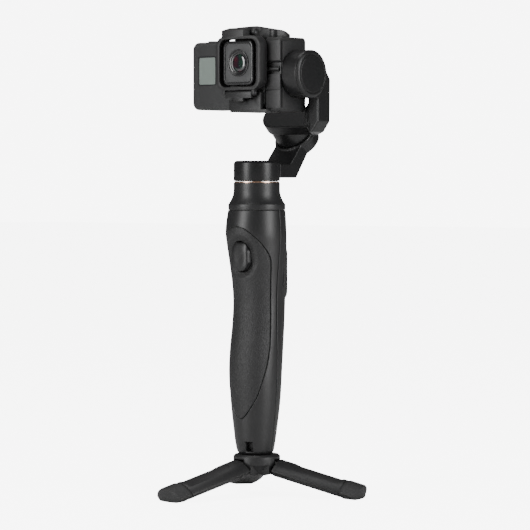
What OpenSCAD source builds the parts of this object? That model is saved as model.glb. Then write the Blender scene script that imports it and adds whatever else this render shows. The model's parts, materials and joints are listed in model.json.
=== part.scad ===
// Handheld three-axis gimbal stabilizer on a folding mini tripod, holding an action camera.
// The handle's axis is the Z axis. The front of the handle and the camera's lens look along -Y.
// The origin is on the handle's axis, in the plane of the tripod head's underside.

/* [Handle] */
// Length of the grip, from its base to the neck collar
handle_len = 161; // [130:1:195]
// Radius of the grip at its fullest lower part
grip_r = 17.6; // [15.5:0.1:21]
// Thickness of the two grip shells
shell_wall = 2.2; // [1.6:0.1:3]
// Thickness of the soft grip inlay
inlay_t = 1.2; // [0.8:0.1:1.8]
// Width of the trigger
trigger_w = 10.4; // [8:0.2:12]
// Height of the trigger
trigger_h = 18.5; // [15:0.5:22]
// Height of the rear control panel
panel_h = 36; // [32:1:44]
// Width of the rear control panel
panel_w = 20; // [17:0.5:23]
// Diameter of the battery cell
cell_d = 18.4; // [14:0.1:18.6]
// Length of the battery cell
cell_len = 65; // [50:1:70]

/* [Neck and pan motor] */
// Radius of the neck and of the pan motor
neck_r = 15.3; // [14.5:0.1:18.5]
// Height of the flared collar
collar_h = 13.4; // [10:0.2:16]
// Height of the straight neck above the flare
neck_h = 3.9; // [3:0.1:6]
// Height of the pan motor's bell
pan_bell_h = 13.3; // [12:0.1:17]

/* [Pan arm and roll motor] */
// Distance from the pan axis back to the roll motor's centre
roll_back = 35; // [33:0.5:43]
// Height of the roll motor's centre above the pan motor's top
roll_rise = 22.1; // [20:0.5:30]
// Tilt of the roll axis from vertical
roll_lean = 45; // [42:1:48]
// Width of the pan arm
pan_arm_w = 22; // [17:0.5:25]
// Outside radius of the roll motor's cup
cup_r = 14; // [13:0.1:16]
// Thickness of the roll arm's plate
plate_t = 7.5; // [6:0.1:9]

/* [Camera and cradle] */
// Width of the action camera
cam_w = 62.2; // [58:0.2:70]
// Height of the action camera
cam_h = 44.6; // [40:0.2:50]
// Depth of the action camera's body
cam_d = 26; // [22:0.2:30]
// Radius of the tilt motor's housing
tilt_r = 15.5; // [14:0.1:18]
// Thickness of the cradle's motor wall
wall_t = 11.8; // [10:0.2:14]
// Width of the camera's lens block
lens_w = 26; // [24:0.5:29]
// Height of the camera's lens block
lens_h = 29; // [26:0.5:30]
// Radius of the lens ring
lens_r = 9; // [7:0.1:10]

/* [Tripod] */
// Length of a leg, from its hinge pin to the end of its rubber foot
leg_len = 68; // [58:1:90]
// Droop of a spread leg below level
leg_droop = 14.5; // [11:0.5:16]
// Turn of the first leg from straight ahead
leg_turn = -12; // [-60:1:60]
// Length of the rubber foot cap
foot_len = 13; // [10:0.5:18]

/* [Hidden] */

$fn = 64;
eps = 0.01;            // overrun of a cut past a face
gap = 0.4;             // clearance between pieces that move past each other
run_fit = 0.05;        // radial clearance of a turning pin or shaft
seat_gap = 0.03;       // under a pad in its recess

black = [0.07, 0.07, 0.08];
charcoal = [0.12, 0.12, 0.13];
rubber = [0.09, 0.09, 0.09];
steel = [0.66, 0.67, 0.69];
copper = [0.72, 0.48, 0.34];

// ---- tripod ----
head_r = 15.5;         // radius of the tripod head
head_h = 12.7;         // from the underside to the top
head_disc_h = 6.5;     // height of the full round disc at the top
head_low_r = 10.5;     // radius at the underside
hinge_r = 9;           // distance of a leg's pin from the handle's axis
hinge_z = 5.1;         // height of the leg pins
pin_r = 1.5;           // radius of a leg pin
tongue_w = 9;          // width of a leg's hinge tongue
tongue_r = 4.5;        // radius round the pin
ear_w = 4.8;           // thickness of each ear of the head beside a tongue
pin_reach = tongue_w / 2 + ear_w - 0.6;
leg_out = 6.3;         // leg surface above its pin, which closes to a round bundle
leg_in = 4.5;          // leg underside below its pin
root_gap = 6.8;        // from the pin to the leg's full width
stud_r = 3.175;        // quarter-inch tripod thread
stud_up = 8;           // how far the stud stands out of the head
leg_angles = [leg_turn - 90, leg_turn + 30, leg_turn + 150];

// ---- handle ----
handle_gap = 0.5;
handle_z = head_h + handle_gap;
insert_r = 6.5;
insert_h = 10;
base_h = 14;           // solid base below the hollow
// Grip outline: share of the length, radius as a share of grip_r, shift of the centre to the rear.
grip = [
    [0, 0.66, -1.4], [0.015, 0.7, -1.4], [0.037, 0.74, -1.5], [0.11, 0.83, -1.4], [0.21, 0.93, -1.25],
    [0.36, 1, -1], [0.43, 1, -0.1], [0.53, 0.98, 1.7], [0.63, 0.975, 2.6], [0.7, 1, 2.2],
    [0.78, 1.06, 1.25], [0.85, 1.115, 0.2], [0.9, 1.145, -0.7], [0.95, 1.125, -0.6], [1, 1.075, 0]
];
grip_sides = 48;
collar_z = handle_z + handle_len;
collar_r = grip_r * grip[len(grip) - 1][1];
neck_z = collar_z + collar_h;
pan_floor = neck_z + neck_h;

function grip_z(s) = handle_z + s[0] * handle_len;
function grip_r_at(z) = lookup(z, [for (s = grip) [grip_z(s), s[1] * grip_r]]);
function grip_y_at(z) = lookup(z, [for (s = grip) [grip_z(s), s[2]]]);

// ---- trigger, panel and side cover, placed down from the top of the grip ----
trigger_z = collar_z - 30.5;
trigger_lip = 0.7;     // gap round the trigger
panel_z = collar_z - 41.5;
panel_out = grip_r_at(panel_z) + grip_y_at(panel_z) + 2.3;   // radius of the panel's face
panel_t = 4.2;
stick_z = panel_z + 9;
light_z = panel_z + 0.5;
mode_z = panel_z - 5;
record_z = panel_z - 12;
stick_r = 5;
button_r = 2.7;
switch_gap = 0.9;      // between a button's stem and its switch
usb_turn = 125;        // angle of the side cover from the front
usb_z = collar_z - 43;
usb_w = 8;
usb_h = 15;
usb_t = 1.4;
usb_r = grip_r_at(usb_z) - cos(usb_turn) * grip_y_at(usb_z) - 0.1;   // outer face of the side cover

// ---- motors ----
bell_wall = 1.1;
magnet_t = 1.4;
post_r = 4.2;
bearing_r = 3;
shaft_r = 1.5;
bearing_t = 2.5;

// ---- pan arm ----
accent_h = 1.4;
pan_bell_z = pan_floor + accent_h + gap;
pan_top = pan_bell_z + pan_bell_h;
arm_t = 10.2;          // thickness of the arm's rising strip
arm_root_z = pan_bell_z + 2;
arm_root_h = 9.2;
roll_y = roll_back;
roll_z = pan_top + roll_rise;
cup_back = 15.6;       // from the roll motor's centre back to the cup's outer face
cup_floor = 2;
cup_depth = 9.7;
cup_rim_h = 3;
roll_bell_r = cup_r - 1.3;
plate_back = 6.6;      // from the roll motor's centre forward to the plate

// ---- camera and tilt axis ----
cam_back_y = 2.8;
cam_front_y = cam_back_y - cam_d;
cam_right = 26.2;
cam_left = cam_right - cam_w;
cam_z = pan_top + 33.3;
cam_top = cam_z + cam_h;
tilt_y = -7;
tilt_z = cam_z + 22.5;
fit_gap = 0.3;         // between the camera and the cradle
pad_t = 0.7;
wall_in = cam_right + fit_gap + pad_t;
wall_x = wall_in + wall_t;
shelf_t = 1.6;
shelf_z = cam_z - shelf_t - fit_gap;
top_z = cam_top + fit_gap;
tilt_w = 14.3;         // width of the tilt motor outside the wall
tilt_out = wall_x + tilt_w;
tilt_cap_t = 1.8;
tilt_floor_x = tilt_out - tilt_cap_t - 1.6;
housing_wall = 1.4;
lens_x = 10;
lens_z = cam_z + cam_h - 14.8;
lens_out = 8;          // how far the lens block stands out of the camera
ring_gap_x = 2.6;      // from the lens block to the clamp ring, at its sides
ring_gap_z = 1.1;      // the same above and below
ring_bar = 3;
ring_w = lens_w + 2 * (ring_gap_x + ring_bar);
ring_h = lens_h + 2 * (ring_gap_z + 1.9);
ring_back = cam_front_y - 0.5;
ring_front = cam_front_y - lens_out - 0.2;
ring_low = lens_z - ring_h / 2;
ring_top = lens_z + ring_h / 2;
shelf_up_t = 1.4;      // thickness of the shelf over the camera
bridge_z = top_z + shelf_up_t;
knuckle_r = 2.4;
clamp_pin_y = cam_front_y + 1.2;
clamp_pin_z = max(bridge_z, ring_top) + knuckle_r + 0.3;
clamp_pin_r = 1;
nose_l = lens_x - 13.6;
nose_r = lens_x + 4.5;
knuckle_w = 3;
bridge_front = clamp_pin_y + 4.6;
bridge_h = 8.4;        // height of the bridge's ridge above the shelf
latch_w = 22;
latch_r = 1.7;
latch_pin_r = 0.8;
latch_pin_z = ring_low - latch_r - 0.3;
latch_pin_y = ring_front + 2;
lip_h = 8.2;
lip_t = 3.2;

// ---- shared shapes ----
// A rectangle with rounded corners, centred, lying in the XY plane.
module rrect(w, h, r) {
    square([w - 2 * r, h], center = true);
    square([w, h - 2 * r], center = true);
    for (x = [-1, 1], y = [-1, 1]) translate([x * (w / 2 - r), y * (h / 2 - r)]) circle(r);
}

// Stands a flat outline up so that it faces along Y, from y0 to y1, with the outline's y as Z.
module facing(y0, y1) {
    translate([0, y1, 0]) rotate([90, 0, 0]) linear_extrude(y1 - y0) children();
}

// Extrudes an outline drawn in Y and Z along X, from x0 to x1.
module sideways(x0, x1) {
    translate([x0, 0, 0]) rotate([90, 0, 90]) linear_extrude(x1 - x0) children();
}

module ring(r_out, r_in, h) {
    difference() {
        cylinder(r = r_out, h = h);
        translate([0, 0, -1]) cylinder(r = r_in, h = h + 2);
    }
}

// A bar along X with the given radius.
module rod_x(x0, x1, r) {
    translate([x0, 0, 0]) rotate([0, 90, 0]) cylinder(r = r, h = x1 - x0);
}

// ---- motor pieces, standing on a floor at z = 0 and turning about Z ----
function post_h(bell_h) = bell_h - 2.4;
function core_h(bell_h) = bell_h - 4.2;

module motor_post(bell_h) {
    ring(post_r, bearing_r, post_h(bell_h));
}

// Slotted core: nine winding windows, each open to the rim through a narrow mouth.
module motor_stator(bell_r, bell_h) {
    core = bell_r - bell_wall - magnet_t - gap;
    h = core_h(bell_h);
    translate([0, 0, 1]) difference() {
        ring(core, post_r, h);
        for (i = [0:8]) rotate(i * 40 + 7) {
            translate([core * 0.52, -core * 0.1, -1]) cube([core * 0.34, core * 0.2, h + 2]);
            translate([core * 0.7, -0.4, -1]) cube([core, 0.8, h + 2]);
        }
    }
}

module motor_magnets(bell_r, bell_h) {
    r = bell_r - bell_wall;
    translate([0, 0, 1]) difference() {
        ring(r, r - magnet_t, core_h(bell_h));
        for (i = [0:6]) rotate(i * 360 / 14) translate([-bell_r, -0.2, core_h(bell_h) / 2])
            cube([2 * bell_r, 0.4, bell_h]);
    }
}

module motor_bearings(bell_h) {
    for (z = [0, post_h(bell_h) - bearing_t]) translate([0, 0, z])
        ring(bearing_r, shaft_r + run_fit, bearing_t);
}

module motor_shaft(bell_h) {
    translate([0, 0, 0.2]) cylinder(r = shaft_r, h = bell_h - 0.2);
}

// The skirt starts at z0 above the floor; the top is one wall thick and drilled for the shaft.
module motor_bell(bell_r, bell_h, z0, top_t = 1.4) {
    difference() {
        translate([0, 0, z0]) cylinder(r = bell_r, h = bell_h - z0);
        translate([0, 0, -1]) cylinder(r = bell_r - bell_wall, h = bell_h - top_t + 1);
        translate([0, 0, -1]) cylinder(r = shaft_r, h = bell_h + 2);
    }
}

module pan_place() {
    translate([0, 0, pan_floor]) children();
}

// Local +Z runs forward and up along the roll axis, from the middle of the roll motor.
module roll_place() {
    translate([0, roll_y, roll_z]) rotate([roll_lean, 0, 0]) children();
}

// Local +Z runs from the tilt motor's outer floor towards the camera.
module tilt_place() {
    translate([tilt_floor_x, tilt_y, tilt_z]) rotate([0, -90, 0]) children();
}

pan_motor_h = accent_h + gap + pan_bell_h;
roll_floor = -cup_back + cup_floor;
roll_motor_h = plate_back - roll_floor;
tilt_motor_h = tilt_floor_x - wall_x;
tilt_bell_r = tilt_r - housing_wall - gap;

// ---- tripod pieces ----
module leg_place(a) {
    rotate(a) translate([hinge_r, 0, hinge_z]) rotate([0, leg_droop, 0]) children();
}

// Cross-section of a leg: a third of the folded bundle, with a flat inner face.
module leg_section(shrink = 0) {
    inset = 0.45 + max(shrink, 0);
    intersection() {
        translate([-hinge_r, 0]) circle(head_r - 0.2 - shrink);
        translate([-leg_in + shrink, -head_r]) square([leg_in + leg_out + 5, 2 * head_r]);
        translate([-hinge_r + inset * 2, 0])
            polygon([[0, 0], [2 * head_r, -2 * head_r * tan(60)], [2 * head_r, 2 * head_r * tan(60)]]);
    }
}

module leg_bar(from, to, shrink = 0) {
    translate([from, 0, 0]) rotate([0, 90, 0]) mirror([1, 0, 0]) linear_extrude(to - from) leg_section(shrink);
}

module leg(a) {
    body_end = leg_len - foot_len;
    groove_w = 17;
    color(black) leg_place(a) difference() {
        union() {
            leg_bar(root_gap, body_end);
            leg_bar(body_end - 1, leg_len - 4, 1.6);
            rotate([90, 0, 0]) translate([0, 0, -tongue_w / 2]) cylinder(r = tongue_r, h = tongue_w);
            translate([0, -tongue_w / 2, -leg_in]) cube([root_gap + 1, tongue_w, 2 * leg_in]);
        }
        rotate([90, 0, 0]) translate([0, 0, -tongue_w]) cylinder(r = pin_r + run_fit, h = 2 * tongue_w);
        // long shallow panel along the top, with a round end near the hinge
        difference() {
            translate([root_gap + groove_w, 0, 0]) {
                cylinder(r = groove_w / 2, h = 9);
                translate([0, -groove_w / 2, 0]) cube([body_end - root_gap - groove_w - 3, groove_w, 9]);
            }
            leg_bar(0, leg_len, 0.7);
        }
    }
}

module foot(a) {
    body_end = leg_len - foot_len;
    color(rubber) intersection() {
        leg_place(a) difference() {
            union() {
                leg_bar(body_end, leg_len);
                leg_bar(body_end + 1.2, leg_len - 1.6, -0.5);
            }
            leg_bar(body_end - 2, leg_len - 4, 1.6);
        }
        rotate(a) translate([0, -head_r, stand_z]) cube([leg_len * 2, 2 * head_r, 60]);
        leg_place(a) translate([leg_len - 34, 0, 0]) sphere(r = 34);
    }
}
// Height of the surface that the feet stand on.
stand_z = hinge_z - (leg_len - 4) * sin(leg_droop) - (leg_in - 1) * cos(leg_droop);

module tripod_head() {
    ear_r = tongue_r + 1.2;
    color(black) difference() {
        intersection() {
            union() {
                translate([0, 0, head_h - head_disc_h]) cylinder(r = head_r, h = head_disc_h);
                difference() {
                    cylinder(r1 = head_low_r, r2 = head_r - 0.7, h = head_h - head_disc_h + eps);
                    for (a = leg_angles) rotate(a)
                        translate([4.2, -tongue_w / 2 - ear_w, -1]) cube([20, tongue_w + 2 * ear_w, head_h]);
                }
                for (a = leg_angles) rotate(a) translate([hinge_r, 0, hinge_z]) rotate([90, 0, 0])
                    translate([0, 0, -tongue_w / 2 - ear_w]) cylinder(r = ear_r, h = tongue_w + 2 * ear_w);
            }
            translate([0, 0, -1]) cylinder(r = head_r, h = head_h + 1);
            rotate_extrude() polygon([
                [0, -1], [head_r + 1, -1], [head_r + 1, head_h - 1.2], [head_r, head_h - 1.2],
                [head_r - 1.2, head_h], [0, head_h]
            ]);
        }
        for (a = leg_angles) rotate(a) translate([hinge_r, 0, hinge_z]) {
            rotate([90, 0, 0]) translate([0, 0, -tongue_w / 2 - gap])
                cylinder(r = tongue_r + gap, h = tongue_w + 2 * gap);
            translate([0, -tongue_w / 2 - gap, -20]) cube([20, tongue_w + 2 * gap, 20 + tongue_r + gap]);
            translate([-tongue_r - gap, -tongue_w / 2 - gap, -20]) cube([20, tongue_w + 2 * gap, 20]);
            rotate([90, 0, 0]) translate([0, 0, -pin_reach - 0.05]) cylinder(r = pin_r, h = 2 * pin_reach + 0.1);
        }
        // the stud passes up through the head
        translate([0, 0, -1]) cylinder(r = stud_r, h = head_h + 2);
    }
}

module tripod_stud() {
    color(steel) union() {
        cylinder(r = stud_r, h = head_h + stud_up - 0.8);
        translate([0, 0, head_h + stud_up - 0.8]) cylinder(r1 = stud_r, r2 = stud_r - 0.8, h = 0.8);
    }
}

module leg_pins() {
    color(steel) for (a = leg_angles) rotate(a) translate([hinge_r, 0, hinge_z]) rotate([90, 0, 0])
        translate([0, 0, -pin_reach]) cylinder(r = pin_r, h = 2 * pin_reach);
}

// ---- handle ----
// The grip as a solid, with its surface moved inwards by depth.
module grip_solid(depth = 0) {
    last = len(grip) - 1;
    points = [
        for (s = grip, i = [0:grip_sides - 1])
            let (a = i * 360 / grip_sides, r = s[1] * grip_r - depth)
            [r * cos(a), s[2] + r * sin(a), grip_z(s)]
    ];
    sides = [
        for (k = [0:last - 1], i = [0:grip_sides - 1])
            let (j = (i + 1) % grip_sides)
            [k * grip_sides + i, k * grip_sides + j, (k + 1) * grip_sides + j, (k + 1) * grip_sides + i]
    ];
    bottom = [[for (i = [grip_sides - 1:-1:0]) i]];
    top = [[for (i = [0:grip_sides - 1]) last * grip_sides + i]];
    polyhedron([for (p = points) p], [for (f = concat(sides, bottom, top)) [for (i = [len(f) - 1:-1:0]) f[i]]]);
}

// Room inside the grip: round about the handle's axis, and everywhere inside the walls.
module grip_room() {
    rows = [for (s = grip) if (s[0] > 0.12) [s[1] * grip_r - abs(s[2]) - shell_wall - 0.35, grip_z(s)]];
    low = rows[0];
    rotate_extrude() polygon(concat(
        [[0, handle_z + base_h], [low[0] - 2.2, handle_z + base_h]],
        rows,
        [[0, collar_z]]
    ));
}

// Outline of the soft inlay, seen from the front: a long leaf, broad at the top.
module inlay_outline() {
    top = collar_z - 10.2;
    low = handle_z + 23.8;
    broad = grip_r * 0.94;
    arc_r = broad * 1.15;
    translate([0, top - arc_r]) intersection() {
        circle(arc_r);
        translate([-broad, 0]) square([2 * broad, 2 * broad]);
    }
    polygon([
        [-broad, top - arc_r], [broad, top - arc_r], [broad, low + 42],
        [broad * 0.86, low + 26], [broad * 0.6, low + 12], [broad * 0.3, low + 3], [0, low],
        [-broad * 0.3, low + 3], [-broad * 0.6, low + 12], [-broad * 0.86, low + 26], [-broad, low + 42]
    ]);
}

module trigger_hole(extra) {
    facing(-3 * grip_r, 0) translate([0, trigger_z]) rrect(trigger_w + 2 * extra, trigger_h + 2 * extra,
        trigger_w / 2 + extra - eps);
}

module strap_slot() {
    rotate(20) translate([-2.5, -grip_r, handle_z + 2]) cube([5, grip_r - insert_r - 1.6, 6]);
}

screw_x = 9;
screw_z = handle_z + 6.5;
screw_r = 0.9;
screw_head_r = 1.7;
screw_head_y = 3.2;    // seat of the screw heads, behind the seam
screw_reach = 3.8;     // thread length in front of the seam

// Two bosses behind the trigger hold its pin.
module trigger_bosses() {
    y = trigger_pivot[1];
    z = trigger_pivot[2];
    for (x = [-1, 1]) translate([x * (trigger_w / 2 + trigger_lip + 1.2) - 1.2, 0, 0]) {
        translate([0, y, z]) rod_x(0, 2.4, 2.4);
        translate([0, y - 6, z - 2.4]) cube([2.4, 6, 4.8]);
    }
}

module handle_front_shell() {
    color(black) difference() {
        union() {
            difference() {
                grip_solid();
                translate([-50, 0, -1]) cube([100, 50, 400]);
                grip_room();
                difference() {
                    facing(-50, -1) inlay_outline();
                    grip_solid(inlay_t);
                }
            }
            intersection() {
                trigger_bosses();
                grip_solid(inlay_t);
            }
        }
        trigger_hole(trigger_lip);
        translate(trigger_pivot) rod_x(-20, 20, trigger_pin_r);
        strap_slot();
        translate([0, 0, handle_z - 1]) cylinder(r = insert_r, h = insert_h + 1);
        for (x = [-screw_x, screw_x]) translate([x, 1, screw_z]) rotate([90, 0, 0])
            cylinder(r = screw_r, h = screw_reach + 1);
    }
}

module handle_rear_shell() {
    color(charcoal) difference() {
        grip_solid();
        translate([-50, -50, -1]) cube([100, 50, 400]);
        grip_room();
        translate([0, 0, handle_z - 1]) cylinder(r = insert_r, h = insert_h + 1);
        facing(0, 50) translate([0, panel_z]) rrect(panel_w, panel_h, 6);
        usb_place() facing(-50, -5) rrect(usb_w + 2 * fit_gap, usb_h + 2 * fit_gap, 1.3);
        for (x = [-screw_x, screw_x]) translate([x, 30, screw_z]) rotate([90, 0, 0]) {
            cylinder(r = screw_r, h = 31);
            cylinder(r = screw_head_r, h = 30 - screw_head_y);
        }
    }
}

module grip_inlay() {
    color(rubber) difference() {
        intersection() {
            grip_solid();
            facing(-50, -1) inlay_outline();
        }
        grip_solid(inlay_t - seat_gap);
        trigger_hole(trigger_lip);
    }
}

module base_insert() {
    color(copper) translate([0, 0, handle_z]) ring(insert_r, stud_r + run_fit, insert_h);
}

module neck_collar() {
    steps = 8;
    rim = 4;           // straight part below the flare
    flare = [for (i = [0:steps]) let (u = i / steps)
        [neck_r + (collar_r - neck_r) * pow(1 - u, 2), collar_z + rim + (collar_h - rim) * u]];
    color(black) difference() {
        union() {
            rotate_extrude() polygon(concat(
                [[0, collar_z], [collar_r, collar_z]], flare, [[neck_r, pan_floor], [0, pan_floor]]
            ));
            translate([0, 0, pan_floor]) cylinder(r = post_r, h = post_h(pan_motor_h));
        }
        translate([0, 0, collar_z - 1]) cylinder(r = neck_r - 3.5, h = collar_h - 3);
        translate([0, 0, pan_floor]) cylinder(r = bearing_r, h = 40);
    }
}

module accent_ring() {
    color(copper) translate([0, 0, pan_floor]) ring(neck_r - 0.4, neck_r - 3, accent_h);
}

cell_z = handle_z + base_h + 2;
cell_y = 0.6;
tray_t = 0.6;
module battery_cell() {
    color([0.2, 0.35, 0.5]) translate([0, cell_y, cell_z]) union() {
        cylinder(r = cell_d / 2, h = cell_len);
        translate([0, 0, cell_len]) cylinder(r = 3, h = 1.2);
    }
}

module battery_tray() {
    r = cell_d / 2;
    tray_h = cell_len + 5.2;
    color(charcoal) translate([0, cell_y, cell_z - 2]) difference() {
        cylinder(r = r + tray_t, h = tray_h);
        translate([-r - 2, -r - 2, -1]) cube([2 * r + 4, r + 1, tray_h + 2]);
        translate([0, 0, 2]) cylinder(r = r, h = cell_len + 1.2);
    }
}

board_z = collar_z - 60;
board_t = 1.2;
// Circuit board on the seam, with the joystick's socket and the two button switches standing on it.
module main_board() {
    color([0.05, 0.3, 0.15]) union() {
        translate([-8.5, 0, board_z]) cube([17, board_t, 56]);
        translate([-4, -1, board_z + 6]) cube([8, 1 + eps, 8]);
        translate([-4, board_t - eps, stick_z - 4]) cube([8, yoke_y - 2.2 - board_t, 8]);
        for (z = [mode_z, record_z]) translate([-2.5, board_t - eps, z - 2.5])
            cube([5, button_y - switch_gap - board_t, 5]);
    }
}

module shell_screws() {
    color(steel) for (x = [-screw_x, screw_x]) translate([x, screw_head_y, screw_z]) rotate([90, 0, 0]) {
        cylinder(r = screw_r, h = screw_head_y + screw_reach);
        translate([0, 0, -1.4]) cylinder(r = screw_head_r, h = 1.4);
    }
}

// ---- rear controls ----
module control_panel() {
    color(charcoal) difference() {
        intersection() {
            facing(8, 50) translate([0, panel_z]) rrect(panel_w, panel_h, 6);
            cylinder(r = panel_out, h = 400);
        }
        cylinder(r = panel_out - panel_t, h = 400);
        facing(0, 50) {
            translate([0, stick_z]) circle(stick_r + 1.2);
            translate([0, mode_z]) circle(button_r + gap);
            translate([0, record_z]) circle(button_r + gap);
            translate([0, light_z]) rrect(3.2, 1.4, 0.6);
        }
    }
}

yoke_y = panel_out - panel_t - 1.6;
button_y = panel_out - panel_t - 1.5;    // back end of a button
module joystick_yoke() {
    color(steel) translate([0, yoke_y, stick_z]) rotate([90, 0, 0]) translate([0, 0, -0.9]) difference() {
        ring(4.2, 2.4, 1.8);
        translate([-6, -0.5, 0.9]) cube([12, 1, 2]);
    }
}

module joystick_cap() {
    color(rubber) translate([0, yoke_y, stick_z]) rotate([-90, 0, 0]) union() {
        cylinder(r = 1.8, h = 5.6);
        translate([0, 0, 4.2]) cylinder(r = 3.2, h = 2.4);
        translate([0, 0, 6.6]) ring(3.2, 2.2, 0.6);
    }
}

module push_button(z, r) {
    h = panel_out - button_y + 0.6;
    translate([0, button_y, z]) rotate([-90, 0, 0]) union() {
        cylinder(r = r, h = h);
        cylinder(r = r + 0.6, h = 0.6);
        translate([0, 0, h]) cylinder(r1 = r, r2 = r - 0.5, h = 0.4);
    }
}

module mode_button() {
    color(rubber) push_button(mode_z, button_r);
}

module record_button() {
    color([0.45, 0.08, 0.07]) push_button(record_z, button_r);
}

module status_light() {
    color([0.5, 0.9, 0.6]) facing(panel_out - 4, panel_out - 0.3) translate([0, light_z]) rrect(3.2, 1.4, 0.6);
}

// Local -Y points out of the handle's side at the cover.
module usb_place() {
    translate([0, 0, usb_z]) rotate(usb_turn) children();
}

// A thin flap that turns on a rolled edge along its rear side.
module usb_cover() {
    color(rubber) usb_place() union() {
        intersection() {
            facing(-usb_r - 2, -usb_r + 4) translate([-0.4, 0]) rrect(usb_w - 0.8, usb_h, 1);
            translate([0, 0, -usb_h]) ring(usb_r, usb_r - usb_t, 2 * usb_h);
        }
        translate([usb_w / 2 - usb_t / 2, usb_hinge_y, 1 - usb_h / 2]) cylinder(r = usb_t / 2, h = usb_h - 2);
    }
}
usb_hinge_y = -sqrt(pow(usb_r - usb_t / 2, 2) - pow(usb_w / 2 - usb_t / 2, 2));

module usb_port() {
    color(steel) usb_place() facing(-usb_r + usb_t + 1, -4.8) difference() {
        rrect(3.4, 9, 1.6);
        rrect(2.6, 8.2, 1.2);
    }
}

// ---- trigger ----
trigger_front = grip_r_at(trigger_z) - grip_y_at(trigger_z) + 0.3;
trigger_pivot = [0, -trigger_front + 7.2, trigger_z + trigger_h / 2 - 3.2];
trigger_pin_r = 1;
module trigger() {
    color(black) difference() {
        intersection() {
            facing(-2 * trigger_front, -trigger_front + 9) translate([0, trigger_z])
                rrect(trigger_w, trigger_h, trigger_w / 2 - eps);
            translate([0, 60 - trigger_front, trigger_z - 2]) rod_x(-20, 20, 60);
            translate([0, 9 - trigger_front, 0]) cylinder(r = 9, h = 400);
        }
        translate(trigger_pivot) rod_x(-20, 20, trigger_pin_r + run_fit);
    }
}

module trigger_pin() {
    reach = trigger_w / 2 + trigger_lip + 2.2;
    color(steel) translate(trigger_pivot) rod_x(-reach, reach, trigger_pin_r);
}

module trigger_switch() {
    color(steel) union() {
        translate([-3, 11.6 - trigger_front, trigger_z - 8]) cube([6, trigger_front - 11.6, 6]);
        translate([0, 11.6 - trigger_front, trigger_z - 5]) rotate([90, 0, 0]) cylinder(r = 1.2, h = 0.6);
    }
}

// ---- pan axis ----
module pan_bell() {
    color(black) pan_place() intersection() {
        motor_bell(neck_r, pan_motor_h, accent_h + gap);
        rotate_extrude() polygon([
            [0, 0], [neck_r, 0], [neck_r, pan_motor_h - 1.6], [neck_r - 1.6, pan_motor_h], [0, pan_motor_h]
        ]);
    }
}

module pan_magnets() {
    color(steel) pan_place() translate([0, 0, accent_h + gap]) motor_magnets(neck_r, pan_bell_h);
}

module pan_stator() {
    color(copper) pan_place() translate([0, 0, accent_h + gap]) motor_stator(neck_r, pan_bell_h);
}

module pan_bearings() {
    color(steel) pan_place() motor_bearings(pan_motor_h);
}

module pan_shaft() {
    color(steel) pan_place() motor_shaft(pan_motor_h);
}

// The arm leaves the bell to the rear, then rises at a slant to the cup of the roll motor.
module pan_arm() {
    s = sin(roll_lean);
    c = cos(roll_lean);
    // lowest edge of the cup's outer face, seen from the side
    foot_y = roll_y + cup_back * s - cup_r * c;
    foot_z = roll_z - cup_back * c - cup_r * s;
    // middle of the cup's front rim
    rim_y = roll_y + (cup_back - cup_depth) * s;
    rim_z = roll_z - (cup_back - cup_depth) * c;
    root_y = foot_y - 8;
    color(black) difference() {
        union() {
            sideways(-pan_arm_w / 2, pan_arm_w / 2) polygon([
                [neck_r - 6, arm_root_z], [root_y, arm_root_z], [foot_y + 3.2, foot_z + 3.2],
                [rim_y + 4, rim_z - 2], [rim_y - cup_r * 0.36, rim_z - cup_r * 0.36 - 1],
                [root_y - 6.4, arm_root_z + arm_root_h],
                [neck_r - 6, arm_root_z + arm_root_h]
            ]);
            roll_place() translate([0, 0, -cup_back]) cylinder(r = cup_r, h = cup_depth);
            roll_place() translate([0, 0, cup_depth - cup_back - cup_rim_h]) cylinder(r = cup_r + 0.7, h = cup_rim_h);
        }
        translate([0, 0, pan_bell_z - 10]) cylinder(r = neck_r, h = pan_bell_h + 20);
        roll_place() translate([0, 0, roll_floor]) cylinder(r = roll_bell_r + gap, h = 60);
    }
    color(black) roll_place() translate([0, 0, roll_floor]) motor_post(roll_motor_h);
}

// ---- roll axis ----
module roll_bell() {
    color(charcoal) roll_place() translate([0, 0, roll_floor]) motor_bell(roll_bell_r, roll_motor_h, gap);
}

module roll_magnets() {
    color(steel) roll_place() translate([0, 0, roll_floor]) motor_magnets(roll_bell_r, roll_motor_h);
}

module roll_stator() {
    color(copper) roll_place() translate([0, 0, roll_floor]) motor_stator(roll_bell_r, roll_motor_h);
}

module roll_bearings() {
    color(steel) roll_place() translate([0, 0, roll_floor]) motor_bearings(roll_motor_h);
}

module roll_shaft() {
    color(steel) roll_place() translate([0, 0, roll_floor]) motor_shaft(roll_motor_h);
}

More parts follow.
